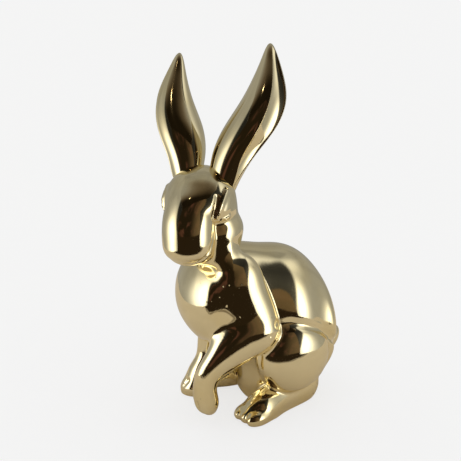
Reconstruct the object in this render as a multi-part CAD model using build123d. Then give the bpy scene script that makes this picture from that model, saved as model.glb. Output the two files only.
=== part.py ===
from build123d import *
import math
import os

os.makedirs("parts", exist_ok=True)

# A sitting rabbit in glazed ceramic: castings from separate plaster moulds, luted together and fired.
# It faces -Y with its left side towards +X, stands on the plane Z = 0, and its head looks to its left.
# Every size is in millimetres.

# Castings: slip-cast wall, hole that drains the slip, and bore that joins head and torso
CASTING_WALL = 5.0
DRAIN_RADIUS = 7.0
NECK_BORE_RADIUS = 9.0
CUT_MARGIN = 2.0

# Torso: upright ovals from rump to chest, as place along Y, lowest, highest and half width
RUMP_POLE = (64.5, 56.0)
TORSO_STATIONS = (
    (60.5, 27.0, 88.0, 28.0),
    (48.0, 8.0, 114.0, 38.0),
    (30.0, 4.0, 128.0, 42.0),
    (8.0, 14.0, 133.0, 40.5),
    (-15.0, 34.0, 138.0, 35.0),
    (-36.0, 53.0, 139.0, 30.5),
    (-53.0, 64.0, 129.5, 26.5),
    (-62.0, 75.0, 117.5, 18.5),
)
CHEST_POLE = (-67.5, 95.5)
NECK_STATION = TORSO_STATIONS[5]

# Seat: the lobe under the belly that carries the torso, ground flat at the table,
# as height, half length and half width
SEAT_CENTRE_Y = 18.0
SEAT_LEVELS = ((-8.0, 22.0, 18.0), (18.0, 33.0, 31.0), (46.0, 31.0, 34.0))

# Haunches
HAUNCH_CENTRE = (33.0, 17.0, 47.0)
HAUNCH_HALF = (20.0, 32.0, 32.0)
HAUNCH_TILT = -12.0

# Hind feet: from heel to toes, as side, place along Y, height of the middle, half width, half height
HEEL_POLE = (19.0, 50.0, 10.0)
FOOT_STATIONS = (
    (20.0, 42.0, 10.0, 9.0, 11.0),
    (25.0, 24.0, 8.0, 10.5, 15.0),
    (31.0, 0.0, 6.5, 12.0, 16.0),
    (36.0, -18.0, 4.5, 13.0, 14.0),
)
FOOT_POLE = (38.5, -31.0, 4.0)
HIND_TOE_RADIUS = 6.8
HIND_TOE_LENGTH = 12.0
HIND_TOE_PLACE = (37.5, -21.5, 4.2)
HIND_TOE_STEP = 7.6
HIND_TOES = 3
FOOT_SPLAY = 13.0

# Forelegs: each station is a centre and its two half widths
SHOULDER_POLE = (25.0, -32.0, 139.0)
UPPER_ARM = (
    (28.0, -30.0, 128.0, 9.0, 15.0),
    (31.0, -26.0, 106.0, 11.0, 19.0),
    (34.0, -19.0, 84.0, 12.0, 19.0),
    (36.0, -13.0, 69.0, 10.0, 14.0),
)
ELBOW_POLE = (36.0, -9.0, 60.0)
RAISED_FOREARM_START = (37.0, 0.0, 78.0)
RAISED_FOREARM = (
    (37.0, -10.0, 75.0, 10.5, 13.0),
    (36.0, -27.0, 70.0, 11.5, 17.0),
    (33.0, -44.0, 58.0, 10.5, 14.0),
    (29.5, -57.0, 43.0, 9.0, 10.5),
    (27.5, -59.0, 29.0, 10.0, 9.5),
    (26.5, -56.5, 17.0, 10.5, 9.0),
)
RAISED_PAW_POLE = (26.0, -53.0, 8.0)
PLANTED_FOREARM_START = (-35.0, -14.0, 70.0)
PLANTED_FOREARM = (
    (-33.0, -18.0, 60.0, 10.0, 13.0),
    (-29.0, -27.0, 44.0, 9.5, 11.0),
    (-27.5, -32.5, 27.0, 8.5, 9.0),
    (-27.0, -41.5, 13.0, 9.0, 8.0),
)
PLANTED_FOREARM_END = (-27.0, -44.0, 2.0)
PAW_HEEL = (-27.0, -35.0, 3.0)
PAW_STATIONS = ((-27.0, -39.5, 3.0, 8.5, 9.0), (-27.5, -47.0, 3.5, 10.5, 9.5))
PAW_POLE = (-28.0, -55.0, 3.0)

# Tail
TAIL_CENTRE = (0.0, 70.5, 36.0)
TAIL_HALF = (9.0, 8.0, 15.0)
TAIL_TILT = -40.0

# Head: level outlines from crown to chin, as height, rear, front and half width about the head's centre,
# and the rounded muzzle before them, as height, front and half width
HEAD_CENTRE = (4.5, -49.5, 165.0)
HEAD_TURN = 40.0
HEAD_ROLL = -1.5
CROWN_POLE = (-4.0, 39.0)
HEAD_LEVELS = (
    (34.0, -17.0, 10.0, 16.0),
    (25.0, -22.0, 20.0, 24.5),
    (13.0, -24.0, 26.0, 28.0),
    (0.0, -25.0, 28.0, 28.0),
    (-12.0, -24.0, 28.0, 28.0),
    (-22.0, -20.0, 27.0, 26.0),
    (-30.0, -13.0, 24.0, 21.0),
)
CHIN_POLE = (6.0, -36.0)
FACE_BLUNTNESS = 0.8
MUZZLE_TOP = (15.0, 29.0)
MUZZLE_LEVELS = (
    (24.0, 31.0, 16.0),
    (16.0, 37.0, 18.0),
    (8.0, 41.5, 19.0),
    (-2.0, 44.0, 19.5),
    (-12.0, 44.5, 19.5),
    (-19.0, 43.5, 18.5),
    (-25.5, 38.0, 15.5),
)
MUZZLE_BASE = (24.0, -31.0)
JAW_CENTRE = (16.0, 6.0, -14.0)
JAW_HALF = (14.0, 18.0, 18.0)
CHEEK_CENTRE = (22.5, 2.0, -9.0)
CHEEK_RADIUS = 12.0
EYE_CENTRE = (23.5, -14.0, 13.0)
EYE_HALF = (5.0, 7.0, 6.5)

# Ears: root in the head, then height, offset outwards, offset backwards and radius of each ring
EAR_ROOT = (15.0, 9.0, 25.0)
EAR_RINGS = (
    (-14.0, -3.0, -4.0, 9.5),
    (0.0, 0.0, 0.0, 11.5),
    (20.0, 5.1, 8.9, 16.5),
    (40.0, 14.8, 18.3, 20.0),
    (60.0, 23.3, 26.3, 17.2),
    (80.0, 25.1, 34.1, 10.4),
    (92.0, 24.3, 38.8, 5.8),
    (98.0, 23.8, 40.7, 3.2),
)
EAR_TIP = (101.0, 23.5, 41.5)
EAR_TIP_RADIUS = 0.8
EAR_OPENING_TURN = 17.0
RIGHT_EAR_SHARE = 0.915

# Cup of each ear: height, radius of the scoop and how far its middle lies outwards of the ear's own middle
EAR_SCOOP = (
    (9.0, 3.0, 14.5),
    (20.0, 10.2, 7.7),
    (40.0, 12.4, 9.9),
    (60.0, 11.0, 8.5),
    (80.0, 7.0, 4.5),
    (92.0, 3.6, 3.2),
    (97.0, 1.0, 3.6),
)

# Rings beside each rounded end, as shares of the way from the end to the nearest station
POLE_STEPS = (0.002, 0.06)
OUTLINE_POINTS = 16
TABLE_REACH = 600.0


def ellipsoid(centre, half):
    return Pos(*centre) * scale(Sphere(1), by=half)


def mirrored(piece):
    return mirror(piece, about=Plane.YZ)


def above(height):
    return Pos(0, 0, height + TABLE_REACH / 2) * Box(TABLE_REACH, TABLE_REACH, TABLE_REACH)


def with_ends(start, rings, end):
    """Add small rings towards both poles, so that a casting's ends are domed."""

    def towards(pole, ring):
        near = []
        for step in POLE_STEPS:
            share = math.sqrt(step)
            near.append((pole + (ring[0] - pole) * step, ring[1] * share, ring[2] * share))
        return near

    return towards(start, rings[0]) + rings + towards(end, rings[-1])[::-1]


def oval_casting(start, stations, end):
    """Loft ovals, each square to the path, from one rounded end to the other."""
    rings = [(Vector(*station[:3]), station[3], station[4]) for station in stations]
    rings = with_ends(Vector(*start), rings, Vector(*end))
    sections = []
    for index, (centre, half_wide, half_deep) in enumerate(rings):
        before = rings[max(index - 1, 0)][0]
        after = rings[min(index + 1, len(rings) - 1)][0]
        along = after - before
        across = Vector(1, 0, 0) - along * (along.X / along.dot(along))
        sections.append(Plane(centre, x_dir=across, z_dir=along) * Ellipse(half_wide, half_deep))
    return loft(sections)


def torso_form(inset):
    """Rump, back and chest as one loft of upright ovals, drawn in all round by the inset."""
    rings = []
    for place, low, high, half_wide in TORSO_STATIONS:
        centre = Vector(0, place, (low + high) / 2)
        rings.append((centre, half_wide - inset, (high - low) / 2 - inset))
    rump = Vector(0, RUMP_POLE[0] - inset, RUMP_POLE[1])
    chest = Vector(0, CHEST_POLE[0] + inset, CHEST_POLE[1])
    sections = []
    for centre, half_wide, half_tall in with_ends(rump, rings, chest):
        upright = Plane(centre, x_dir=(1, 0, 0), z_dir=(0, -1, 0))
        sections.append(upright * Ellipse(half_wide, half_tall))
    return loft(sections)


def seat_form(inset):
    levels = []
    for height, half_long, half_wide in SEAT_LEVELS:
        outline = Pos(0, SEAT_CENTRE_Y) * Ellipse(half_wide - inset, half_long - inset)
        levels.append(Plane.XY.offset(height) * outline)
    return loft(levels)


def hind_foot():
    foot = oval_casting(HEEL_POLE, FOOT_STATIONS, FOOT_POLE)
    for number in range(HIND_TOES):
        across = (number - (HIND_TOES - 1) / 2) * HIND_TOE_STEP
        toe = ellipsoid((across, 0, 0), (HIND_TOE_RADIUS, HIND_TOE_LENGTH, HIND_TOE_RADIUS))
        foot += Pos(*HIND_TOE_PLACE) * Rot(Z=FOOT_SPLAY) * toe
    return foot


def head_outline(middle, half_wide, reach):
    """Level outline of the head: blunt across the face and round behind."""
    points = []
    for step in range(OUTLINE_POINTS):
        angle = 2 * math.pi * step / OUTLINE_POINTS
        across, ahead = math.cos(angle), math.sin(angle)
        power = FACE_BLUNTNESS if ahead > 0 else 1.0
        x = half_wide * math.copysign(abs(across) ** power, across)
        y = reach * math.copysign(abs(ahead) ** power, ahead)
        points.append(middle + Vector(x, -y, 0))
    return make_face(Spline(*points, periodic=True))


def skull_form(inset):
    """Skull as one loft of level outlines, drawn in all round by the inset."""
    rings = []
    for height, rear, front, half_wide in HEAD_LEVELS:
        middle = Vector(0, -(front + rear) / 2, height)
        rings.append((middle, half_wide - inset, (front - rear) / 2 - inset))
    crown = Vector(0, -CROWN_POLE[0], CROWN_POLE[1] - inset)
    chin = Vector(0, -CHIN_POLE[0], CHIN_POLE[1] + inset)
    return loft([head_outline(*ring) for ring in with_ends(crown, rings, chin)])


def muzzle_form():
    """Muzzle and forehead: rounds stacked from brow to chin, level with each other at the front."""
    top = Vector(0, -MUZZLE_TOP[0], MUZZLE_TOP[1])
    base = Vector(0, -MUZZLE_BASE[0], MUZZLE_BASE[1])
    rings = []
    for height, front, half_wide in MUZZLE_LEVELS:
        rings.append((Vector(0, half_wide - front, height), half_wide, half_wide))
    sections = []
    for centre, half_wide, half_long in with_ends(top, rings, base):
        sections.append(Plane(centre) * Ellipse(half_wide, half_long))
    return loft(sections)


def head_form():
    head = skull_form(0) + muzzle_form()
    jaw = ellipsoid(JAW_CENTRE, JAW_HALF)
    cheek = Pos(*CHEEK_CENTRE) * Sphere(CHEEK_RADIUS)
    eye = ellipsoid(EYE_CENTRE, EYE_HALF)
    for side in (jaw, cheek, eye):
        head += side
        head += mirrored(side)
    return head


def ear_middle(height):
    """Offset of the ear's middle line from its root at a height between its rings."""
    for lower, upper in zip(EAR_RINGS, EAR_RINGS[1:]):
        if lower[0] <= height <= upper[0]:
            share = (height - lower[0]) / (upper[0] - lower[0])
            out = lower[1] + (upper[1] - lower[1]) * share
            back = lower[2] + (upper[2] - lower[2]) * share
            return Vector(out, back, height)


def ear_form(share):
    """A cupped ear: a tapering tube with a scoop that opens at its outer side."""
    root = Vector(*EAR_ROOT)
    turn = math.radians(EAR_OPENING_TURN)
    outwards = Vector(math.cos(turn), -math.sin(turn), 0)
    tube = []
    for height, out, back, radius in EAR_RINGS:
        centre = root + Vector(out, back, height) * share
        tube.append(Plane(centre) * Circle(radius * share))
    height, out, back = EAR_TIP
    tube.append(Plane(root + Vector(out, back, height) * share) * Circle(EAR_TIP_RADIUS))
    scoop = []
    for height, radius, shift in EAR_SCOOP:
        centre = root + (ear_middle(height) + outwards * shift) * share
        scoop.append(Plane(centre) * Circle(radius * share))
    return loft(tube) - loft(scoop)


above_table = above(0)

torso_solid = (torso_form(0) + seat_form(0)) & above_table
torso_cavity = torso_form(CASTING_WALL) + (seat_form(CASTING_WALL) & above(CASTING_WALL))
drain = Pos(0, SEAT_CENTRE_Y, CASTING_WALL / 2) * Cylinder(DRAIN_RADIUS, CASTING_WALL + 2 * CUT_MARGIN)

head_place = Pos(*HEAD_CENTRE) * Rot(Z=HEAD_TURN) * Rot(Y=HEAD_ROLL)
head_solid = head_place * head_form()
head_cavity = head_place * skull_form(CASTING_WALL)
place, low, high, half_wide = NECK_STATION
neck_foot = Vector(0, place, (low + high) / 2)
neck_line = Vector(*HEAD_CENTRE) - neck_foot
neck_bore = extrude(Plane(neck_foot, z_dir=neck_line) * Circle(NECK_BORE_RADIUS), neck_line.length)
ear_left = head_place * ear_form(1.0)
ear_right = head_place * mirrored(ear_form(RIGHT_EAR_SHARE))

haunch = Pos(*HAUNCH_CENTRE) * Rot(X=HAUNCH_TILT) * scale(Sphere(1), by=HAUNCH_HALF)
haunch = haunch & above_table
foot = (hind_foot() & above_table) - torso_solid - haunch
upper_arm = oval_casting(SHOULDER_POLE, UPPER_ARM, ELBOW_POLE)
raised = oval_casting(RAISED_FOREARM_START, RAISED_FOREARM, RAISED_PAW_POLE)
planted = oval_casting(PLANTED_FOREARM_START, PLANTED_FOREARM, PLANTED_FOREARM_END)
paw = oval_casting(PAW_HEEL, PAW_STATIONS, PAW_POLE)
foreleg_left = upper_arm + raised
foreleg_right = (mirrored(upper_arm) + planted + paw) & above_table
tail = Pos(*TAIL_CENTRE) * Rot(X=TAIL_TILT) * scale(Sphere(1), by=TAIL_HALF)

pieces = {
    "torso": torso_solid - torso_cavity - drain - neck_bore,
    "head": head_solid - torso_solid - head_cavity - neck_bore,
    "ear_left": ear_left - head_solid,
    "ear_right": ear_right - head_solid,
    "haunch_left": haunch - torso_solid - foreleg_left,
    "haunch_right": mirrored(haunch) - torso_solid - foreleg_right,
    "hind_foot_left": foot,
    "hind_foot_right": mirrored(foot) - foreleg_right,
    "foreleg_left": foreleg_left - torso_solid - head_solid,
    "foreleg_right": foreleg_right - torso_solid - head_solid,
    "tail": tail - torso_solid,
}
for name, piece in pieces.items():
    export_step(piece, f"parts/{name}.step")
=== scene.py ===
import math

import bmesh
import bpy
import numpy as np
from mathutils import Matrix, Vector


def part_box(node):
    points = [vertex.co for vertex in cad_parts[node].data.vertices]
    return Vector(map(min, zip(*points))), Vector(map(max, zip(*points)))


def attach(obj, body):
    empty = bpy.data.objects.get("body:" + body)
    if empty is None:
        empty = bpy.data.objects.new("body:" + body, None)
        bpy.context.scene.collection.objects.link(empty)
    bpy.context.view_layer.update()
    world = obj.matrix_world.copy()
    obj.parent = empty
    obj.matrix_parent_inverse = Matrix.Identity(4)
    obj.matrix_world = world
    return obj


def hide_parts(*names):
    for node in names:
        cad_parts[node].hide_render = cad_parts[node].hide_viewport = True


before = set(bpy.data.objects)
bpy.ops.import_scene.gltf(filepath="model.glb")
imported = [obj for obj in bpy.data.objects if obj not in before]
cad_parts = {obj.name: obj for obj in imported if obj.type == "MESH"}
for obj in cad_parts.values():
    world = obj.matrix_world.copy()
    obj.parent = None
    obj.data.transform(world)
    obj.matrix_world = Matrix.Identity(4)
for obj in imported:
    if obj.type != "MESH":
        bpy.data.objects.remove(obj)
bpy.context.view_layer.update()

# Torso
# Rump, back, chest and the seat under the belly are one hollow slip casting, with a drain hole in the
# seat. Its form is a run of upright ovals, here as place along Y, lowest, highest and half width, in mm.
MM = 0.001
RUMP_POLE = (64.5, 56.0)
TORSO_OVALS = (
    (60.5, 27.0, 88.0, 28.0),
    (48.0, 8.0, 114.0, 38.0),
    (30.0, 4.0, 128.0, 42.0),
    (8.0, 14.0, 133.0, 40.5),
    (-15.0, 34.0, 138.0, 35.0),
    (-36.0, 53.0, 139.0, 32.5),
    (-51.5, 63.0, 130.5, 30.0),
    (-60.0, 74.0, 118.5, 24.5),
)
CHEST_POLE = (-66.2, 95.5)
SEAT_CENTRE = (0.0, 18.0, 22.0)
SEAT_HALF = (33.0, 34.0, 34.0)
SEAT_FILL = 14.0
DRAIN_RADIUS = 7.0
OVAL_THICKNESS = 12.0
RATE_STEP = 0.1
LEAST_SLOPE = 4.0


def drawn_curve(knots, values, at):
    """Natural cubic spline through the values, carried on straight past its ends."""
    knots, values = np.array(knots, float), np.array(values, float)
    if knots[0] > knots[-1]:
        knots, values = knots[::-1], values[::-1]
    gaps = np.diff(knots)
    slopes = np.diff(values) / gaps
    count = len(knots)
    matrix, right = np.eye(count), np.zeros(count)
    for i in range(1, count - 1):
        matrix[i, i - 1:i + 2] = gaps[i - 1], 2 * (gaps[i - 1] + gaps[i]), gaps[i]
        right[i] = 6 * (slopes[i] - slopes[i - 1])
    bend = np.linalg.solve(matrix, right)
    held = np.clip(at, knots[0], knots[-1])
    i = np.clip(np.searchsorted(knots, held) - 1, 0, count - 2)
    left, rest, gap = held - knots[i], knots[i + 1] - held, gaps[i]
    curve = (bend[i] * rest ** 3 + bend[i + 1] * left ** 3) / (6 * gap)
    curve += (values[i] / gap - bend[i] * gap / 6) * rest
    curve += (values[i + 1] / gap - bend[i + 1] * gap / 6) * left
    first = slopes[0] - gaps[0] * bend[1] / 6
    last = slopes[-1] + gaps[-1] * bend[-2] / 6
    return curve + np.minimum(at - knots[0], 0) * first + np.maximum(at - knots[-1], 0) * last


def rate_of(knots, values, at):
    rise = drawn_curve(knots, values, at + RATE_STEP) - drawn_curve(knots, values, at - RATE_STEP)
    return rise / (2 * RATE_STEP)


def ellipsoid(points, centre, half, turn=None):
    """How far each point lies outside an ellipsoid, negative inside."""
    offset = points - np.array(centre)
    if turn is not None:
        offset = offset @ np.array(turn)
    share = np.linalg.norm(offset / half, axis=1)
    steep = np.linalg.norm(offset / np.square(half), axis=1)
    return share * (share - 1) / np.maximum(steep, 1e-6)


def round_loft(square, across, deep, rate):
    """Distance to a loft, from its half depth squared, that square's rate, and the offsets off its line."""
    steep = np.sqrt(4 * across ** 2 + 4 * deep ** 2 + rate ** 2)
    return (across ** 2 + deep ** 2 - square) / np.maximum(steep, LEAST_SLOPE)


def blended(first, second, reach):
    """Smooth union: the two surfaces run into each other over the reach."""
    near = np.clip(1 - np.abs(first - second) / reach, 0, 1)
    return np.minimum(first, second) - near * near * reach / 4


def torso_form(points):
    place = [RUMP_POLE[0]] + [oval[0] for oval in TORSO_OVALS] + [CHEST_POLE[0]]
    middle = [RUMP_POLE[1]] + [(oval[1] + oval[2]) / 2 for oval in TORSO_OVALS] + [CHEST_POLE[1]]
    tall = [(oval[2] - oval[1]) / 2 for oval in TORSO_OVALS]
    square = [0.0] + [half ** 2 for half in tall] + [0.0]
    ratio = [oval[3] / half for oval, half in zip(TORSO_OVALS, tall)]
    ratio = [ratio[0]] + ratio + [ratio[-1]]
    x, y, z = points.T
    held = np.clip(y, place[-1], place[0])
    across = x / drawn_curve(place, ratio, held)
    deep = z - drawn_curve(place, middle, held)
    body = round_loft(drawn_curve(place, square, y), across, deep, rate_of(place, square, y))
    return blended(body, ellipsoid(points, SEAT_CENTRE, SEAT_HALF), SEAT_FILL)


def between(stations):
    """The stations with one more halfway between each two."""
    table = np.array(stations)
    return np.concatenate((table, (table[1:] + table[:-1]) / 2))


rough_balls = [(SEAT_CENTRE, SEAT_HALF, None)]
for place, low, high, half_wide in between(between(TORSO_OVALS)):
    rough_balls.append(((0.0, place, (low + high) / 2), (half_wide, OVAL_THICKNESS, (high - low) / 2), None))


class Value:
    """A shader socket for Python expressions: each operator adds its Math node."""

    def __init__(self, tree, socket=None):
        self.tree = tree
        self.socket = socket

    def node(self, kind, settings=None, inputs=None, output=0):
        made = self.tree.nodes.new(kind)
        for name, value in (settings or {}).items():
            setattr(made, name, value)
        for name, value in (inputs or {}).items():
            if isinstance(value, Value):
                self.tree.links.new(value.socket, made.inputs[name])
            else:
                made.inputs[name].default_value = value
        return Value(self.tree, made.outputs[output] if made.outputs else None)

    def math(self, operation, first, second=0.0):
        return self.node("ShaderNodeMath", {"operation": operation}, {0: first, 1: second})

    def __add__(self, other):
        return self.math("ADD", self, other)

    def __sub__(self, other):
        return self.math("SUBTRACT", self, other)

    def __rsub__(self, other):
        return self.math("SUBTRACT", other, self)

    def __mul__(self, other):
        return self.math("MULTIPLY", self, other)

    __radd__ = __add__
    __rmul__ = __mul__

    def ramp(self, low, high):
        """0 below the low value, 1 above the high one, smooth between."""
        return self.node(
            "ShaderNodeMapRange",
            {"interpolation_type": "SMOOTHSTEP"},
            {"Value": self, "From Min": low, "From Max": high},
        )

    def mix(self, first, second):
        """A colour that goes from the first to the second as this value goes from 0 to 1."""
        return self.node("ShaderNodeMix", {"data_type": "RGBA"}, {0: self, 6: first, 7: second}, output=2)


GLAZE_LINE = (0.0003, 0.0009)
PIT_RADIUS = (0.025, 0.05)
CLOUD_RANGE = (0.42, 0.66)
SPECK_SHARE = 0.25
WOBBLE_SHARE = 0.5
PEEL_SHARE = 0.02
SHINE_ROUGHNESS = 0.05
CLOUD_ROUGHNESS = 0.05
BISCUIT_ROUGHNESS = 0.6
GOLD = (0.93, 0.82, 0.53, 1.0)
DEEP_GOLD = (0.91, 0.78, 0.46, 1.0)
SPECK = (0.42, 0.30, 0.14, 1.0)
BISCUIT = (0.71, 0.60, 0.47, 1.0)
gold = bpy.data.materials.new("gold_glaze")
gold.use_nodes = True
gold.node_tree.nodes.clear()
start = Value(gold.node_tree)
place = start.node("ShaderNodeTexCoord", output="Object")
height = start.node("ShaderNodeSeparateXYZ", None, {"Vector": place}, output="Z")
bare = 1 - height.ramp(*GLAZE_LINE)
cloud = start.node("ShaderNodeTexNoise", None, {"Vector": place, "Scale": 26.0, "Detail": 4.0})
wobble = start.node("ShaderNodeTexNoise", None, {"Vector": place, "Scale": 55.0, "Detail": 1.0})
peel = start.node("ShaderNodeTexNoise", None, {"Vector": place, "Scale": 520.0, "Detail": 2.0})
pits = start.node("ShaderNodeTexVoronoi", None, {"Vector": place, "Scale": 75.0})
speck = 1 - pits.ramp(*PIT_RADIUS)
tone = cloud.ramp(*CLOUD_RANGE).mix(GOLD, DEEP_GOLD)
tone = (speck * SPECK_SHARE).mix(tone, SPECK)
tone = bare.mix(tone, BISCUIT)
relief = wobble * WOBBLE_SHARE + peel * PEEL_SHARE
grain = start.node("ShaderNodeBump", None, {"Strength": 0.22, "Distance": 0.0012, "Height": relief})
shine = start.node(
    "ShaderNodeBsdfPrincipled",
    None,
    {
        "Base Color": tone,
        "Metallic": 1 - bare,
        "Roughness": SHINE_ROUGHNESS + cloud * CLOUD_ROUGHNESS + bare * BISCUIT_ROUGHNESS,
        "Normal": grain,
    },
)
start.node("ShaderNodeOutputMaterial", None, {"Surface": shine})


def gilded_piece(node):
    """The empty mesh that a casting's share of the gilded skin goes into."""
    mesh = bpy.data.meshes.new(node + "_skin")
    mesh.materials.append(gold)
    piece = bpy.data.objects.new(node + "_skin", mesh)
    bpy.context.scene.collection.objects.link(piece)
    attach(piece, "root")
    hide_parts(node)
    return piece


torso = gilded_piece("torso")


# Head
# The head is a second hollow casting, luted on at the neck and turned to its left: a skull and broad
# snout drawn through level outlines (height, rear, front, half width), with swollen jaws and cheeks.
HEAD_CENTRE = (4.5, -49.5, 165.0)
HEAD_TURN = 40.0
HEAD_ROLL = -1.5
CROWN_POLE = (-4.0, 39.0)
HEAD_LEVELS = (
    (34.0, -17.0, 10.0, 16.0),
    (25.0, -22.0, 20.0, 24.5),
    (13.0, -24.0, 26.0, 28.0),
    (0.0, -25.0, 19.0, 27.0),
    (-12.0, -24.0, 16.0, 25.0),
    (-22.0, -20.0, 17.0, 23.0),
    (-30.0, -13.0, 18.0, 19.0),
)
CHIN_POLE = (6.0, -36.0)
LEVEL_THICKNESS = 8.0
FACE_BLUNTNESS = 2.5
MUZZLE_TOP = (8.0, 36.0)
MUZZLE_LEVELS = (
    (30.5, 21.5, 13.0),
    (24.0, 30.0, 16.0),
    (16.0, 37.0, 18.0),
    (8.0, 41.5, 19.0),
    (-2.0, 44.0, 19.5),
    (-12.0, 44.5, 19.5),
    (-19.0, 43.5, 18.5),
    (-25.5, 38.0, 15.5),
)
MUZZLE_BASE = (24.0, -31.0)
MUZZLE_FILLS = (3.0, 9.0)
MUZZLE_FILL_HEIGHTS = (4.0, 22.0)
JAW_CENTRE = (15.0, 4.0, -15.0)
JAW_HALF = (14.0, 19.0, 18.0)
JAW_FILL = 8.0
CHEEK_CENTRE = (15.6, 1.3, -9.0)
CHEEK_HALF = (14.0, 18.5, 14.0)
CHEEK_TURN = -22.0
CHEEK_FILL = 3.0
EYE_CENTRE = (22.2, -11.3, 11.2)
EYE_HALF = (4.0, 6.0, 10.5)
EYE_TURN = -30.0
EYE_LEAN = -36.0
EYE_FILL = 1.2
BROW = ((24.0, -7.0, 23.5), (23.6, -15.8, 16.0), (21.4, -19.6, 7.0))
BROW_RADIUS = 1.7
LOWER_LID = ((21.0, -19.4, 1.5), (24.6, -14.5, 3.0), (26.8, -9.0, 4.5))
LOWER_LID_RADIUS = 0.9
LID_FILL = 2.4
EYE_VALLEY = ((20.5, -16.5, 21.0), (21.0, -20.0, 15.5), (20.0, -21.5, 9.0))
VALLEY_WIDTH = 2.2
VALLEY_DEPTH = 1.0
MOUTH = (
    (20.0, -22.5, -5.0),
    (19.8, -24.0, -11.0),
    (18.3, -27.5, -17.0),
    (14.0, -32.0, -22.0),
    (8.5, -35.5, -25.5),
    (0.0, -37.5, -27.0),
)
MOUTH_WIDTH = 1.6
MOUTH_DEPTH = 1.1

head_axes = Matrix.Rotation(math.radians(HEAD_TURN), 3, "Z")
head_axes = np.array(head_axes @ Matrix.Rotation(math.radians(HEAD_ROLL), 3, "Y"))
cheek_axes = np.array(Matrix.Rotation(math.radians(CHEEK_TURN), 3, "Z"))
eye_axes = Matrix.Rotation(math.radians(EYE_TURN), 3, "Z")
eye_axes = np.array(eye_axes @ Matrix.Rotation(math.radians(EYE_LEAN), 3, "X"))


def in_head(points):
    return (points - np.array(HEAD_CENTRE)) @ head_axes


def out_of_head(place):
    return head_axes @ np.array(place) + np.array(HEAD_CENTRE)


def off_line(points, line):
    """Distance of each point from a line through the given places."""
    least = np.full(len(points), np.inf)
    for start, end in zip(np.array(line[:-1]), np.array(line[1:])):
        way = end - start
        share = np.clip((points - start) @ way / (way @ way), 0, 1)
        least = np.minimum(least, np.linalg.norm(points - start - share[:, None] * way, axis=1))
    return least


def groove(points, line, width, depth):
    """A rounded furrow along a line: how much it takes off."""
    return depth * np.exp(-(off_line(points, line) / width) ** 2)


def skull_shape(local):
    height = [CROWN_POLE[1]] + [level[0] for level in HEAD_LEVELS] + [CHIN_POLE[1]]
    middle = [CROWN_POLE[0]] + [(level[1] + level[2]) / 2 for level in HEAD_LEVELS] + [CHIN_POLE[0]]
    reach = [(level[2] - level[1]) / 2 for level in HEAD_LEVELS]
    square = [0.0] + [half ** 2 for half in reach] + [0.0]
    ratio = [level[3] / half for level, half in zip(HEAD_LEVELS, reach)]
    ratio = [ratio[0]] + ratio + [ratio[-1]]
    x, y, z = local.T
    held = np.clip(z, height[-1], height[0])
    across = x / drawn_curve(height, ratio, held)
    ahead = -y - drawn_curve(height, middle, held)
    power = np.where(ahead > 0, FACE_BLUNTNESS, 2.0)
    radius = (np.abs(across) ** power + np.abs(ahead) ** power) ** (1 / power)
    return round_loft(drawn_curve(height, square, z), radius, 0.0, rate_of(height, square, z))


def muzzle_shape(local):
    """Rounds stacked from brow to chin."""
    height = [MUZZLE_TOP[1]] + [level[0] for level in MUZZLE_LEVELS] + [MUZZLE_BASE[1]]
    middle = [MUZZLE_TOP[0]] + [level[1] - level[2] for level in MUZZLE_LEVELS] + [MUZZLE_BASE[0]]
    square = [0.0] + [level[2] ** 2 for level in MUZZLE_LEVELS] + [0.0]
    x, y, z = local.T
    ahead = -y - drawn_curve(height, middle, np.clip(z, height[-1], height[0]))
    return round_loft(drawn_curve(height, square, z), x, ahead, rate_of(height, square, z))


def head_form(points):
    local = in_head(points)
    local = np.column_stack((np.abs(local[:, 0]), local[:, 1:]))
    fill = np.interp(local[:, 2], MUZZLE_FILL_HEIGHTS, MUZZLE_FILLS)
    shape = blended(skull_shape(local), muzzle_shape(local), fill)
    shape = blended(shape, ellipsoid(local, JAW_CENTRE, JAW_HALF), JAW_FILL)
    shape = blended(shape, ellipsoid(local, CHEEK_CENTRE, CHEEK_HALF, cheek_axes), CHEEK_FILL)
    shape = blended(shape, off_line(local, BROW) - BROW_RADIUS, LID_FILL)
    shape = blended(shape, off_line(local, LOWER_LID) - LOWER_LID_RADIUS, LID_FILL)
    shape = blended(shape, ellipsoid(local, EYE_CENTRE, EYE_HALF, eye_axes), EYE_FILL)
    shape = shape + groove(local, EYE_VALLEY, VALLEY_WIDTH, VALLEY_DEPTH)
    return shape + groove(local, MOUTH, MOUTH_WIDTH, MOUTH_DEPTH)


for height, rear, front, half_wide in between(HEAD_LEVELS):
    middle = out_of_head((0.0, -(front + rear) / 2, height))
    rough_balls.append((middle, (half_wide, (front - rear) / 2, LEVEL_THICKNESS), head_axes))
for side in (1, -1):
    for centre, half in ((JAW_CENTRE, JAW_HALF), (CHEEK_CENTRE, CHEEK_HALF), (EYE_CENTRE, EYE_HALF)):
        rough_balls.append((out_of_head((side * centre[0], centre[1], centre[2])), half, head_axes))

for height, front, half_wide in between(MUZZLE_LEVELS):
    middle = out_of_head((0.0, half_wide - front, height))
    rough_balls.append((middle, (half_wide, half_wide, LEVEL_THICKNESS), head_axes))

head = gilded_piece("head")


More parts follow.
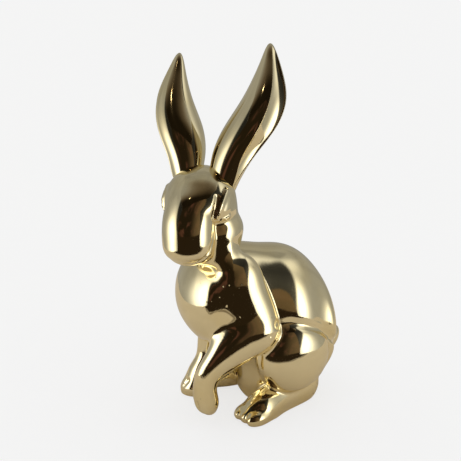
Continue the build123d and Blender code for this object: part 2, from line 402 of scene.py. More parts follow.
# Ears
# Each ear is a cupped casting luted to the crown: a bent, tapering form with a shallow dish between two thin
# lips down its outer side. Rings hold height, outward, backward, radius and half width of the dish.
EAR_ROOT = (15.0, 9.0, 25.0)
EAR_RINGS = (
    (-14.0, -3.0, -4.0, 9.5, 0.0),
    (0.0, 0.0, 0.0, 11.5, 1.0),
    (20.0, 5.1, 8.9, 16.5, 7.2),
    (40.0, 14.8, 18.3, 20.0, 10.4),
    (60.0, 23.3, 26.3, 17.2, 9.4),
    (80.0, 25.1, 34.1, 10.4, 5.6),
    (92.0, 24.3, 38.8, 5.8, 3.0),
    (101.0, 23.5, 41.5, 0.0, 0.0),
)
EAR_LIP = 1.3
EAR_CUP = 0.09
EAR_CUP_START = (7.0, 30.0)
EAR_CUP_END = (84.0, 98.0)
EAR_OPENING_TURN = 26.0
EAR_RIGHT_SHARE = 0.915
EAR_OUTER_POINTS = 48
EAR_LIP_POINTS = 5
EAR_INNER_POINTS = 28
EAR_LEVELS = 110
LEAST_SQUARE = 0.02
DISH_SHARES = (0.04, 0.9)
LIP_SHARE = 0.35
SEWN_WITHIN = 0.00001
ear_table = np.array(EAR_RINGS)


def eased(low, high, at):
    share = min(max((at - low) / (high - low), 0.0), 1.0)
    return share * share * (3 - 2 * share)


def ear_outline(height):
    """One level of the ear: round the outside, over a lip, through the dish and back over the other lip."""
    rings, outs, backs, radii, dishes = ear_table.T
    out, backward, square, dish = (
        float(drawn_curve(rings, values, np.array(height))) for values in (outs, backs, radii ** 2, dishes)
    )
    radius = math.sqrt(max(square, LEAST_SQUARE))
    half = min(max(dish, DISH_SHARES[0] * radius), DISH_SHARES[1] * radius)
    lip = min(EAR_LIP, LIP_SHARE * half)
    edge = math.asin(half / radius)
    mouth = radius * math.cos(edge)
    depth = EAR_CUP * radius * eased(*EAR_CUP_START, height) * (1 - eased(*EAR_CUP_END, height))
    outline = []
    for i in range(EAR_OUTER_POINTS):
        angle = edge + (2 * math.pi - 2 * edge) * i / (EAR_OUTER_POINTS - 1)
        outline.append((radius * math.cos(angle), radius * math.sin(angle)))
    inner = []
    for i in range(EAR_INNER_POINTS):
        side = 2 * i / (EAR_INNER_POINTS - 1) - 1
        inner.append((mouth - depth * (1 - side * side), (half - lip) * side))
    over = []
    for i in range(EAR_LIP_POINTS):
        share = (i + 1) / (EAR_LIP_POINTS + 1)
        over.append((mouth + 2 * lip * share * (1 - share), -half + lip * share))
    outline += over + inner + [(x, -y) for x, y in reversed(over)]
    turn = -math.radians(EAR_OPENING_TURN)
    placed = []
    for x, y in outline:
        across = out + x * math.cos(turn) - y * math.sin(turn)
        placed.append((across, backward + x * math.sin(turn) + y * math.cos(turn), height))
    return placed


def ear_mesh(piece, side, share):
    """A sheet rolled up into the ear's outlines, sewn along its seam and closed at root and tip."""
    points = EAR_OUTER_POINTS + 2 * EAR_LIP_POINTS + EAR_INNER_POINTS
    low, high = ear_table[0, 0], ear_table[-1, 0]
    outlines = []
    for level in range(EAR_LEVELS + 1):
        outlines.append(ear_outline(low + (high - low) * math.sin(math.pi / 2 * level / EAR_LEVELS)))
    rolled = bmesh.new()
    bmesh.ops.create_grid(rolled, x_segments=points, y_segments=EAR_LEVELS, size=1.0)
    for vert in rolled.verts:
        around = round((vert.co.x + 1) / 2 * points) % points
        level = round((vert.co.y + 1) / 2 * EAR_LEVELS)
        local = np.array(EAR_ROOT) + np.array(outlines[level][around]) * share
        vert.co = out_of_head(local * np.array((side, 1.0, 1.0))) * MM
    bmesh.ops.remove_doubles(rolled, verts=rolled.verts, dist=SEWN_WITHIN)
    bmesh.ops.holes_fill(rolled, edges=[edge for edge in rolled.edges if edge.is_boundary])
    bmesh.ops.recalc_face_normals(rolled, faces=rolled.faces)
    for face in rolled.faces:
        face.smooth = True
    rolled.to_mesh(piece.data)
    rolled.free()


ear_mesh(gilded_piece("ear_left"), 1, 1.0)
ear_mesh(gilded_piece("ear_right"), -1, EAR_RIGHT_SHARE)


# Forelegs
# Upper arm and forearm are cast in one, a leg on each side: the left paw is lifted, the right one is
# planted. Stations hold a centre and the two half widths. The arm's front runs smoothly into the chest.
SHOULDER_POLE = (25.0, -32.0, 139.0)
UPPER_ARM = (
    (28.0, -30.0, 128.0, 9.0, 15.0),
    (31.0, -26.0, 106.0, 11.0, 19.0),
    (34.0, -19.0, 84.0, 12.0, 19.0),
    (36.0, -13.0, 69.0, 10.0, 14.0),
)
ELBOW_POLE = (36.0, -9.0, 60.0)
RAISED_FOREARM_START = (37.0, 0.0, 78.0)
RAISED_FOREARM = (
    (37.0, -10.0, 75.0, 10.5, 13.0),
    (36.0, -27.0, 70.0, 11.5, 17.0),
    (33.0, -44.0, 58.0, 10.5, 14.0),
    (29.5, -57.0, 43.0, 9.0, 10.5),
    (27.5, -59.0, 29.0, 10.0, 9.5),
    (26.5, -56.5, 17.0, 10.5, 9.0),
)
RAISED_PAW_POLE = (26.0, -53.0, 8.0)
PLANTED_FOREARM_START = (35.0, -14.0, 70.0)
PLANTED_FOREARM = (
    (33.0, -18.0, 60.0, 10.0, 13.0),
    (29.0, -27.0, 44.0, 9.5, 11.0),
    (27.5, -32.5, 27.0, 8.5, 9.0),
    (27.0, -41.5, 13.0, 9.0, 8.0),
)
PLANTED_FOREARM_END = (27.0, -44.0, 2.0)
PAW_HEEL = (27.0, -35.0, 3.0)
PAW_STATIONS = ((27.0, -39.5, 3.0, 8.5, 9.0), (27.5, -47.0, 3.5, 10.5, 9.5))
PAW_POLE = (28.0, -55.0, 3.0)
ELBOW_FILL = 6.0
PAW_GROOVES = (-3.2, 3.2)
RAISED_GROOVE = np.array(((26.5, -66.0, 22.0), (26.0, -62.0, 11.0), (26.0, -54.0, 6.0)))
PLANTED_GROOVE = np.array(((27.5, -50.0, 13.0), (28.0, -55.5, 8.0), (28.0, -56.0, 1.0)))
GROOVE_WIDTH = 1.5
GROOVE_DEPTH = 1.5
LINE_SAMPLES = 48


def limb(points, start, stations, end):
    """Distance to ovals carried along a bent line, with a domed end at each pole."""
    table = np.array([(*start, 0, 0), *stations, (*end, 0, 0)], float)
    table[0, 3:], table[-1, 3:] = table[1, 3:], table[-2, 3:]
    line = np.concatenate(([0.0], np.cumsum(np.linalg.norm(np.diff(table[:, :3], axis=0), axis=1))))
    square = table[:, 4] ** 2
    square[0] = square[-1] = 0.0
    ratio = table[:, 3] / table[:, 4]
    at = np.linspace(0, line[-1], LINE_SAMPLES)
    centres = np.column_stack([drawn_curve(line, table[:, i], at) for i in range(3)])
    along = np.gradient(centres, axis=0)
    along /= np.linalg.norm(along, axis=1)[:, None]
    sides = np.array((1.0, 0, 0)) - along * along[:, :1]
    sides /= np.linalg.norm(sides, axis=1)[:, None]
    nearest = np.argmin((centres ** 2).sum(1)[None] - 2 * points @ centres.T, axis=1)
    place = at[nearest] + ((points - centres[nearest]) * along[nearest]).sum(1)
    held = np.clip(place, 0, line[-1])
    centre, side, way = (
        np.column_stack([np.interp(held, at, samples[:, i]) for i in range(3)])
        for samples in (centres, sides, along)
    )
    offset = points - centre
    offset = offset - way * (offset * way).sum(1)[:, None]
    across = (offset * side).sum(1)
    deep = np.sqrt(np.maximum((offset ** 2).sum(1) - across ** 2, 0))
    across = across / np.interp(held, at, drawn_curve(line, ratio, at))
    return round_loft(drawn_curve(line, square, place), across, deep, rate_of(line, square, place))


def limb_balls(stations):
    return [(station[:3], (station[3], station[4], station[4]), None) for station in stations]


def other_side(points):
    return points * np.array((-1.0, 1.0, 1.0))


def paw_grooves(points, line):
    cut = 0.0
    for aside in PAW_GROOVES:
        shift = np.array((aside, 0.0, 0.0))
        cut = cut + groove(points, line + shift, GROOVE_WIDTH, GROOVE_DEPTH)
    return cut


def left_foreleg_form(points):
    upper = limb(points, SHOULDER_POLE, UPPER_ARM, ELBOW_POLE)
    raised = limb(points, RAISED_FOREARM_START, RAISED_FOREARM, RAISED_PAW_POLE)
    return blended(upper, raised, ELBOW_FILL) + paw_grooves(points, RAISED_GROOVE)


def right_foreleg_form(points):
    points = other_side(points)
    upper = limb(points, SHOULDER_POLE, UPPER_ARM, ELBOW_POLE)
    planted = limb(points, PLANTED_FOREARM_START, PLANTED_FOREARM, PLANTED_FOREARM_END)
    leg = blended(upper, planted, ELBOW_FILL)
    paw = blended(leg, limb(points, PAW_HEEL, PAW_STATIONS, PAW_POLE), ELBOW_FILL)
    return paw + paw_grooves(points, PLANTED_GROOVE)


rough_balls += limb_balls(between(UPPER_ARM)) + limb_balls(between(RAISED_FOREARM))
for centre, half, turn in limb_balls([*between(UPPER_ARM), *between(PLANTED_FOREARM), *PAW_STATIONS]):
    rough_balls.append(((-centre[0], centre[1], centre[2]), half, turn))

foreleg_left = gilded_piece("foreleg_left")
foreleg_right = gilded_piece("foreleg_right")


# Haunches
# Each thigh is a separate domed casting, luted to the side of the torso.
HAUNCH_CENTRE = (33.0, 17.0, 47.0)
HAUNCH_HALF = (20.0, 32.0, 32.0)
HAUNCH_TILT = -12.0
HAUNCH_CREASE = (
    (44.0, -4.0, 81.0),
    (42.0, 10.0, 79.0),
    (43.0, 22.0, 75.0),
    (42.0, 36.0, 68.0),
    (38.0, 50.0, 58.0),
    (30.0, 59.0, 47.0),
)
HAUNCH_CREASE_WIDTH = 3.0
HAUNCH_CREASE_DEPTH = 2.4
haunch_axes = np.array(Matrix.Rotation(math.radians(HAUNCH_TILT), 3, "X"))


def left_haunch_form(points):
    return ellipsoid(points, HAUNCH_CENTRE, HAUNCH_HALF, haunch_axes)


def right_haunch_form(points):
    return left_haunch_form(other_side(points))


for side in (1, -1):
    rough_balls.append(((side * HAUNCH_CENTRE[0], *HAUNCH_CENTRE[1:]), HAUNCH_HALF, haunch_axes))

haunch_left = gilded_piece("haunch_left")
haunch_right = gilded_piece("haunch_right")


# Hind feet
# Long feet with three toes, cast solid and luted under haunch and seat, their soles ground flat.
HEEL_POLE = (19.0, 50.0, 10.0)
FOOT_STATIONS = (
    (20.0, 42.0, 10.0, 9.0, 11.0),
    (25.0, 24.0, 8.0, 10.5, 15.0),
    (31.0, 0.0, 6.5, 12.0, 16.0),
    (36.0, -18.0, 4.5, 13.0, 14.0),
)
FOOT_POLE = (38.5, -31.0, 4.0)
HIND_TOE_HALF = (6.8, 12.0, 6.8)
HIND_TOE_PLACE = (37.5, -21.5, 4.2)
HIND_TOE_STEP = 7.6
HIND_TOES = 3
FOOT_SPLAY = 13.0
TOE_FILL = 2.2
foot_axes = np.array(Matrix.Rotation(math.radians(FOOT_SPLAY), 3, "Z"))
hind_toes = []
for number in range(HIND_TOES):
    across = (number - (HIND_TOES - 1) / 2) * HIND_TOE_STEP
    hind_toes.append(np.array(HIND_TOE_PLACE) + foot_axes @ np.array((across, 0.0, 0.0)))


def left_foot_form(points):
    shape = limb(points, HEEL_POLE, FOOT_STATIONS, FOOT_POLE)
    for toe in hind_toes:
        shape = blended(shape, ellipsoid(points, toe, HIND_TOE_HALF, foot_axes), TOE_FILL)
    return shape


def right_foot_form(points):
    return left_foot_form(other_side(points))


foot_balls = limb_balls(between(FOOT_STATIONS)) + [(toe, HIND_TOE_HALF, foot_axes) for toe in hind_toes]
for centre, half, turn in foot_balls:
    rough_balls.append((centre, half, turn))
    mirrored = None if turn is None else turn.T
    rough_balls.append(((-centre[0], centre[1], centre[2]), half, mirrored))

hind_foot_left = gilded_piece("hind_foot_left")
hind_foot_right = gilded_piece("hind_foot_right")


# Tail
# A short upturned scut, cast solid and luted to the rump.
TAIL_CENTRE = (0.0, 70.5, 36.0)
TAIL_HALF = (9.0, 8.0, 15.0)
TAIL_TILT = -40.0
tail_axes = np.array(Matrix.Rotation(math.radians(TAIL_TILT), 3, "X"))


def tail_form(points):
    return ellipsoid(points, TAIL_CENTRE, TAIL_HALF, tail_axes)


rough_balls.append((TAIL_CENTRE, TAIL_HALF, tail_axes))
tail = gilded_piece("tail")


# Luting and glaze
# The castings are joined with slip that fills their seams, ground flat at the table, then glazed and
# gilded all over, so one skin runs across every seam. Each piece keeps its own share of that skin.
FAR = 20.0
SOLE_ROUND = 1.0
SKIN_GRID = 1.15
SKIN_THICKNESS = 1.2
GRADIENT_STEP = 0.02
DRAWS = 5
RELAXED_DRAWS = 3
LONGEST_DRAW = 2.0
LEAST_STEEP = 0.05
FACING_LIMIT = 0.5
DRAIN_DEPTH = 1.0
HEAD_SEAM = 3.0
HAUNCH_SEAM = 4.0
FOOT_SEAM = 3.0
TAIL_SEAM = 3.0
ARM_FILLS = (2.0, 16.0)
ARM_FRONT = (-18.0, -38.0)


def arm_fill(points):
    """The slip is pushed well in at the front of the arm, and a furrow stays at its rear."""
    ahead = np.clip((ARM_FRONT[0] - points[:, 1]) / (ARM_FRONT[0] - ARM_FRONT[1]), 0, 1)
    return ARM_FILLS[0] + (ARM_FILLS[1] - ARM_FILLS[0]) * ahead


castings = {
    "torso": (torso, torso_form, None),
    "head": (head, head_form, HEAD_SEAM),
    "foreleg_left": (foreleg_left, left_foreleg_form, arm_fill),
    "foreleg_right": (foreleg_right, right_foreleg_form, arm_fill),
    "haunch_left": (haunch_left, left_haunch_form, HAUNCH_SEAM),
    "haunch_right": (haunch_right, right_haunch_form, HAUNCH_SEAM),
    "hind_foot_left": (hind_foot_left, left_foot_form, FOOT_SEAM),
    "hind_foot_right": (hind_foot_right, right_foot_form, FOOT_SEAM),
    "tail": (tail, tail_form, TAIL_SEAM),
}
boxes = {node: [np.array(corner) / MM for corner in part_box(node)] for node in castings}


def form_of(node, points):
    """Distance to one casting, worked out only near its own box."""
    low, high = boxes[node]
    close = np.all((points > low - FAR) & (points < high + FAR), axis=1)
    result = np.full(len(points), FAR)
    result[close] = castings[node][1](points[close])
    return result


def skin_form(points):
    skin = form_of("torso", points)
    for node, (piece, form, fill) in castings.items():
        if fill is not None:
            skin = blended(skin, form_of(node, points), fill(points) if callable(fill) else fill)
    sides = np.column_stack((np.abs(points[:, 0]), points[:, 1:]))
    skin = skin + groove(sides, HAUNCH_CREASE, HAUNCH_CREASE_WIDTH, HAUNCH_CREASE_DEPTH)
    return -blended(-skin, points[:, 2], SOLE_ROUND)


def slope_of(points, level):
    slopes = np.empty_like(points)
    for axis in range(3):
        moved = points.copy()
        moved[:, axis] += GRADIENT_STEP
        slopes[:, axis] = (skin_form(moved) - level) / GRADIENT_STEP
    return slopes


rough = bmesh.new()
for centre, half, turn in rough_balls:
    axes = Matrix.Identity(3) if turn is None else Matrix(turn)
    placed = Matrix.Translation(Vector(centre)) @ axes.to_4x4() @ Matrix.Diagonal((*half, 1.0))
    bmesh.ops.create_icosphere(rough, subdivisions=4, radius=1.0, matrix=placed)
rough_mesh = bpy.data.meshes.new("rough")
rough.to_mesh(rough_mesh)
rough.free()
rough_object = bpy.data.objects.new("rough", rough_mesh)
bpy.context.scene.collection.objects.link(rough_object)
remesh = rough_object.modifiers.new("remesh", "REMESH")
remesh.mode = "VOXEL"
remesh.voxel_size = SKIN_GRID
view_layer = bpy.context.evaluated_depsgraph_get()
skin_mesh = bpy.data.meshes.new_from_object(rough_object.evaluated_get(view_layer))
bpy.data.objects.remove(rough_object)

count = len(skin_mesh.vertices)
skin = np.empty(count * 3)
skin_mesh.vertices.foreach_get("co", skin)
skin = skin.reshape(-1, 3)
ends = np.empty(len(skin_mesh.edges) * 2, int)
skin_mesh.edges.foreach_get("vertices", ends)
ends = ends.reshape(-1, 2)
neighbours = np.bincount(ends.ravel(), minlength=count)


def relaxed(points):
    """Each point halfway to the mean of its neighbours."""
    total = np.zeros_like(points)
    for axis in range(3):
        total[:, axis] = np.bincount(ends[:, 0], points[ends[:, 1], axis], count)
        total[:, axis] += np.bincount(ends[:, 1], points[ends[:, 0], axis], count)
    return (points + total / neighbours[:, None]) / 2


for draw in range(DRAWS):
    if draw and draw <= RELAXED_DRAWS:
        skin = relaxed(skin)
    level = skin_form(skin)
    slope = slope_of(skin, level)
    move = slope * (level / np.maximum((slope ** 2).sum(1), LEAST_STEEP))[:, None]
    length = np.linalg.norm(move, axis=1)
    skin -= move * np.minimum(1, LONGEST_DRAW / np.maximum(length, 1e-9))[:, None]
normals = slope_of(skin, skin_form(skin))
normals /= np.maximum(np.linalg.norm(normals, axis=1), 1e-9)[:, None]
skin_mesh.vertices.foreach_set("co", (skin * MM).ravel())
skin_mesh.update()
skin_mesh.attributes.new("lay", "FLOAT_VECTOR", "POINT").data.foreach_set("vector", normals.ravel())
faces = len(skin_mesh.polygons)
skin_mesh.polygons.foreach_set("use_smooth", np.ones(faces, bool))
centres = np.empty(faces * 3)
skin_mesh.polygons.foreach_get("center", centres)
centres = centres.reshape(-1, 3) / MM
owner = np.argmin(np.column_stack([form_of(node, centres) for node in castings]), axis=1)
off_drain = np.hypot(centres[:, 0] - SEAT_CENTRE[0], centres[:, 1] - SEAT_CENTRE[1])
owner[(off_drain < DRAIN_RADIUS) & (centres[:, 2] < DRAIN_DEPTH)] = -1

for index, (node, (piece, form, fill)) in enumerate(castings.items()):
    share = bmesh.new()
    share.from_mesh(skin_mesh)
    share.faces.ensure_lookup_table()
    bmesh.ops.delete(share, geom=[share.faces[i] for i in np.flatnonzero(owner != index)], context="FACES")
    lay = share.verts.layers.float_vector["lay"]
    inside = bmesh.ops.extrude_face_region(share, geom=share.faces[:], use_keep_orig=True)["geom"]
    for vert in inside:
        if isinstance(vert, bmesh.types.BMVert):
            vert.co -= vert[lay] * (SKIN_THICKNESS * MM)
    for vert in share.verts:
        vert.co.z = max(vert.co.z, 0.0)
    bmesh.ops.recalc_face_normals(share, faces=share.faces)
    share.to_mesh(piece.data)
    share.free()
    mesh = piece.data
    corners = np.empty(len(mesh.loops), int)
    mesh.loops.foreach_get("vertex_index", corners)
    lay = np.empty(len(mesh.vertices) * 3)
    mesh.attributes["lay"].data.foreach_get("vector", lay)
    lay = lay.reshape(-1, 3)[corners]
    flat = np.empty(len(mesh.polygons) * 3)
    mesh.polygons.foreach_get("normal", flat)
    sizes = np.empty(len(mesh.polygons), int)
    mesh.polygons.foreach_get("loop_total", sizes)
    flat = np.repeat(flat.reshape(-1, 3), sizes, axis=0)
    facing = (lay * flat).sum(1)
    inward = np.where((facing < -FACING_LIMIT)[:, None], -lay, flat)
    outward = np.where((facing > FACING_LIMIT)[:, None], lay, inward)
    mesh.normals_split_custom_set(outward)
    mesh.attributes.remove(mesh.attributes["lay"])


# Stage
# A white sheet gives the pale floor and background. Only reflections see the rest: a light tent, open at the
# front, whose cloth glows all over as painted light, brightest where the glow of a lamp behind each side wall
# is painted in, with painted shade on its roof and walls painted dark past a slanting front line; a tan cloth
# with a painted shade line along its front edge, past which a dark glowing sheet is painted shade standing
# for the dim room; a dim room, painted lighter and warmer on one side as light spill; and a small bulb.
CAMERA_AZIMUTH = math.radians(63.0)
CAMERA_HEIGHT = math.radians(18.0)
CAMERA_DISTANCE = 0.75
CAMERA_TARGET = Vector((0.00472, -0.02487, 0.15))
CAMERA_LENS = 75.0
CAMERA_SENSOR = 36.0
FLOOR_HALF = 8.0
FLOOR_WHITE = (0.86, 0.86, 0.85, 1.0)
FLOOR_FLECK = (0.83, 0.83, 0.82, 1.0)
FLOOR_GLOW = 0.72
WHITE = (1.0, 1.0, 1.0, 1.0)
SKY_LIGHT = 0.8
TENT_HALF = 0.38
TENT_HEIGHT = 0.66
ROOM_FAR = 1.4
FRONT_FOOT = 0.44
FRONT_SLANT = 0.66
SLANT_SHIFT = 0.3
ROOF_FRONT = 0.08
# Lamp glows painted into the tent cloth.
LAMP_AHEAD = 0.21
LAMP_SHIFT = 0.1
LAMP_HEIGHT = 0.14
LAMP_HALF_WIDE = 0.13
LAMP_HALF_TALL = 0.20
LAMP_LEVEL = 2.4
HIGH_LAMP = (0.0, 0.50)
HIGH_LAMP_HALF = 0.17
HIGH_LAMP_LEVEL = 0.6
CLOTH_FRONT = 0.25
EDGE_WAVE = 0.06
SPARK_PLACE = (0.14, 0.17, 0.62)
SPARK_RADIUS = 0.009
SPARK_LEVEL = 7.0
SPARK_COLOUR = (1.0, 0.78, 0.5, 1.0)
# Painted shade on the walls past the tent's slanting front.
FRONT_SOFT = 0.04
FRONT_DIMMING = 0.95
# Painted shade on the tent roof.
ROOF_SOFT = (0.13, 0.15)
ROOF_SHADE_DIMMING = (0.15, 0.82)
TENT_EDGE = (0.97, 0.99)
TENT_GLOW = 0.22
FOLD_GLOW = 0.22
MIDDLE_SOFT = 0.1
TENT_WHITE = (1.0, 0.99, 0.96, 1.0)
# Painted shade tint of the roof towards its front.
ROOF_SHADE_BROWN = (1.0, 0.70, 0.40, 1.0)
CLOTH_TONES = ((0.60, 0.53, 0.44, 1.0), (0.72, 0.64, 0.54, 1.0))
# Painted shade along the cloth's front edge.
EDGE_SHADE_RISE = (0.035, 0.02)
EDGE_SHADE_FALL = (0.012, 0.004)
EDGE_SHADE_SHARE = 0.8
EDGE_SHADE_TONE = (0.10, 0.07, 0.04, 1.0)
# Painted shade of the dim room, past the cloth's front.
DIM_ROOM_SHADE = (0.02, 0.013, 0.007, 1.0)
ROOM_SHADE_SOFT = 0.002
CLOTH_LIFT = 0.0002
MURK_RANGE = (0.5, 0.75)
MURK_SHARE = 0.6
ROOM_TONES = ((0.016, 0.011, 0.006, 1.0), (0.14, 0.06, 0.045, 1.0))
# Painted light spill on one side of the dim room.
SPILL_SIDE = (0.1, 1.1)
SPILL_SHARE = 0.7
SPILL_LIGHT_TONE = (0.20, 0.14, 0.08, 1.0)
SQUARELY = 0.9


def stage_object(name, bm, material):
    mesh = bpy.data.meshes.new(name)
    bm.to_mesh(mesh)
    bm.free()
    mesh.materials.append(material)
    made = bpy.data.objects.new(name, mesh)
    bpy.context.scene.collection.objects.link(made)
    return made


def only_reflected(made):
    made.visible_camera = False
    made.visible_diffuse = False
    made.visible_transmission = False
    made.visible_shadow = False


def plain_material(name):
    material = bpy.data.materials.new(name)
    material.use_nodes = True
    material.node_tree.nodes.clear()
    return material, Value(material.node_tree)


def seen_directly(start):
    """1 for rays from the camera, and for reflected and refracted ones."""
    path = start.node("ShaderNodeLightPath").socket.node
    kinds = ("Is Camera Ray", "Is Glossy Ray", "Is Transmission Ray")
    rays = [Value(start.tree, path.outputs[kind]) for kind in kinds]
    return start.math("MAXIMUM", rays[0], start.math("MAXIMUM", rays[1], rays[2]))


world = bpy.data.worlds.new("studio")
bpy.context.scene.world = world
world.use_nodes = True
world.node_tree.nodes.clear()
start = Value(world.node_tree)
strength = SKY_LIGHT + (1 - SKY_LIGHT) * seen_directly(start)
sky = start.node("ShaderNodeBackground", None, {"Color": WHITE, "Strength": strength})
start.node("ShaderNodeOutputWorld", None, {"Surface": sky})

paper, start = plain_material("white_paper")
place = start.node("ShaderNodeTexCoord", output="Object")
fleck = start.node("ShaderNodeTexNoise", None, {"Vector": place, "Scale": 40.0, "Detail": 4.0})
matte = start.node("ShaderNodeBsdfDiffuse", None, {"Color": fleck.mix(FLOOR_WHITE, FLOOR_FLECK)})
glow = start.node("ShaderNodeEmission", None, {"Color": WHITE, "Strength": 1.0})
both = start.node("ShaderNodeMixShader", None, {0: FLOOR_GLOW * seen_directly(start), 1: matte, 2: glow})
start.node("ShaderNodeOutputMaterial", None, {"Surface": both})
sheet = bmesh.new()
bmesh.ops.create_grid(sheet, x_segments=1, y_segments=1, size=FLOOR_HALF)
stage_object("floor", sheet, paper)

cloth, start = plain_material("tent_cloth")
place = start.node("ShaderNodeTexCoord", output="Object")
split = start.node("ShaderNodeSeparateXYZ", None, {"Vector": place}).socket.node
aside, ahead, up = (Value(start.tree, split.outputs[i]) for i in range(3))
across = start.math("ABSOLUTE", aside)
on_side = across.ramp(*(TENT_HALF * share for share in TENT_EDGE))
on_roof = up.ramp(*(TENT_HEIGHT * share for share in TENT_EDGE))
# Painted light: the cloth glows all over, brightest where the glow of a lamp behind each side wall, and of a
# high lamp behind one of them, is painted in; no lamp stands behind the walls.
lamp_ahead = (ahead - LAMP_AHEAD + aside * LAMP_SHIFT) * (1 / LAMP_HALF_WIDE)
lamp_up = (up - LAMP_HEIGHT) * (1 / LAMP_HALF_TALL)
lamp = start.math("POWER", math.e, (lamp_ahead * lamp_ahead + lamp_up * lamp_up) * -1.0)
high_ahead = (ahead - HIGH_LAMP[0]) * (1 / HIGH_LAMP_HALF)
high_up = (up - HIGH_LAMP[1]) * (1 / HIGH_LAMP_HALF)
high = start.math("POWER", math.e, (high_ahead * high_ahead + high_up * high_up) * -1.0)
high = high * (1 - aside.ramp(-MIDDLE_SOFT, MIDDLE_SOFT)) * HIGH_LAMP_LEVEL
folds = start.node("ShaderNodeTexNoise", None, {"Vector": place, "Scale": 6.0, "Detail": 2.0})
# Painted shade: the walls go near black past a slanting line, standing for the dim room seen through the open
# front.
past_front = ahead + up * (FRONT_SLANT - aside * SLANT_SHIFT) - FRONT_FOOT
wall_end = past_front.ramp(-FRONT_SOFT, FRONT_SOFT)
# Painted shade: the roof glows less than the walls, and much less and browner towards the open front.
roof_shade = ahead.ramp(ROOF_FRONT - ROOF_SOFT[0], ROOF_FRONT + ROOF_SOFT[1])
level = TENT_GLOW + folds * FOLD_GLOW + on_side * (lamp * LAMP_LEVEL + high)
level = level * (1 - (1 - on_roof) * wall_end * FRONT_DIMMING)
level = level * (1 - on_roof * (ROOF_SHADE_DIMMING[0] + ROOF_SHADE_DIMMING[1] * roof_shade))
tint = (on_roof * roof_shade).mix(TENT_WHITE, ROOF_SHADE_BROWN)
glow = start.node("ShaderNodeVectorMath", {"operation": "SCALE"}, {"Vector": tint, "Scale": level})
light = start.node("ShaderNodeEmission", None, {"Color": glow, "Strength": 1.0})
start.node("ShaderNodeOutputMaterial", None, {"Surface": light})
facing_camera = Matrix.Rotation(CAMERA_AZIMUTH + math.pi, 4, "Z")
walls = bmesh.new()
bmesh.ops.create_cube(walls, size=1.0, matrix=Matrix.Translation((0, 0, 0.5)))
for vert in walls.verts:
    vert.co = Vector((vert.co.x * 2 * TENT_HALF, vert.co.y * 2 * TENT_HALF, vert.co.z * TENT_HEIGHT))
open_sides = [face for face in walls.faces if max(face.normal.y, -face.normal.z) > SQUARELY]
bmesh.ops.delete(walls, geom=open_sides, context="FACES")
tent = stage_object("light_tent", walls, cloth)
tent.matrix_world = facing_camera
only_reflected(tent)

cloth_and_room_shade, start = plain_material("tent_floor")
place = start.node("ShaderNodeTexCoord", output="Object")
split = start.node("ShaderNodeSeparateXYZ", None, {"Vector": place}).socket.node
ahead = Value(start.tree, split.outputs[1])
wave = start.node("ShaderNodeTexNoise", None, {"Vector": place, "Scale": 11.0, "Detail": 2.0})
folds = start.node("ShaderNodeTexNoise", None, {"Vector": place, "Scale": 9.0, "Detail": 3.0})
edge = ahead + wave * EDGE_WAVE
cloth_tone = folds.mix(*CLOTH_TONES)
# Painted shade: a dark wavy line along the cloth's front edge, where it drapes down.
edge_shade_rise = edge.ramp(*(CLOTH_FRONT - short for short in EDGE_SHADE_RISE))
edge_shade_fall = edge.ramp(*(CLOTH_FRONT - short for short in EDGE_SHADE_FALL))
edge_shade = edge_shade_rise * (1 - edge_shade_fall)
cloth_tone = (edge_shade * EDGE_SHADE_SHARE).mix(cloth_tone, EDGE_SHADE_TONE)
lit = start.node("ShaderNodeBsdfDiffuse", None, {"Color": cloth_tone})
# Painted shade: past the cloth's front the sheet glows near black, standing for the dim room.
dark = start.node("ShaderNodeEmission", None, {"Color": DIM_ROOM_SHADE, "Strength": 1.0})
beyond = edge.ramp(CLOTH_FRONT - ROOM_SHADE_SOFT, CLOTH_FRONT + ROOM_SHADE_SOFT)
both = start.node("ShaderNodeMixShader", None, {0: beyond, 1: lit, 2: dark})
start.node("ShaderNodeOutputMaterial", None, {"Surface": both})
sheet = bmesh.new()
bmesh.ops.create_grid(sheet, x_segments=1, y_segments=1, size=ROOM_FAR)
for vert in sheet.verts:
    vert.co.z = CLOTH_LIFT
tent_floor = stage_object("tent_floor", sheet, cloth_and_room_shade)
tent_floor.matrix_world = facing_camera
only_reflected(tent_floor)

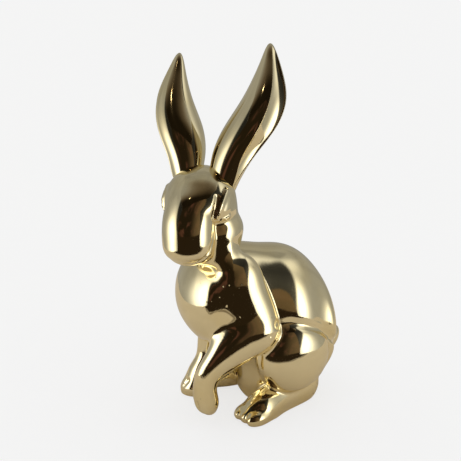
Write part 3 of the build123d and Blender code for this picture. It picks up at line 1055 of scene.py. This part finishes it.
room, start = plain_material("dim_room")
place = start.node("ShaderNodeTexCoord", output="Object")
split = start.node("ShaderNodeSeparateXYZ", None, {"Vector": place}).socket.node
aside = Value(start.tree, split.outputs[0])
patch = start.node("ShaderNodeTexNoise", None, {"Vector": place, "Scale": 2.4, "Detail": 2.0})
murk = patch.ramp(*MURK_RANGE) * MURK_SHARE
tint = murk.mix(*ROOM_TONES)
# Painted light: one side of the dim room glows lighter and warmer, as light spilling from the tent.
tint = ((aside * -1.0).ramp(*SPILL_SIDE) * SPILL_SHARE).mix(tint, SPILL_LIGHT_TONE)
light = start.node("ShaderNodeEmission", None, {"Color": tint, "Strength": 1.0})
start.node("ShaderNodeOutputMaterial", None, {"Surface": light})
shell = bmesh.new()
bmesh.ops.create_uvsphere(shell, u_segments=48, v_segments=24, radius=ROOM_FAR)
behind = stage_object("dim_room", shell, room)
behind.matrix_world = facing_camera
only_reflected(behind)

spark, start = plain_material("warm_lamp")
light = start.node("ShaderNodeEmission", None, {"Color": SPARK_COLOUR, "Strength": SPARK_LEVEL})
start.node("ShaderNodeOutputMaterial", None, {"Surface": light})
bulb = bmesh.new()
bulb_place = Matrix.Translation(SPARK_PLACE)
bmesh.ops.create_uvsphere(bulb, u_segments=16, v_segments=8, radius=SPARK_RADIUS, matrix=bulb_place)
warm_lamp = stage_object("warm_lamp", bulb, spark)
warm_lamp.matrix_world = facing_camera
only_reflected(warm_lamp)

ahead = Vector((math.sin(CAMERA_AZIMUTH), -math.cos(CAMERA_AZIMUTH), 0.0))
camera_data = bpy.data.cameras.new("camera")
camera_data.lens = CAMERA_LENS
camera_data.sensor_width = CAMERA_SENSOR
camera = bpy.data.objects.new("camera", camera_data)
back = ahead * math.cos(CAMERA_HEIGHT) + Vector((0.0, 0.0, math.sin(CAMERA_HEIGHT)))
camera_place = Matrix.Translation(CAMERA_TARGET + back * CAMERA_DISTANCE)
camera.matrix_world = camera_place @ back.to_track_quat("Z", "Y").to_matrix().to_4x4()
bpy.context.scene.collection.objects.link(camera)
bpy.context.scene.camera = camera
bpy.context.scene.view_settings.view_transform = "Standard"
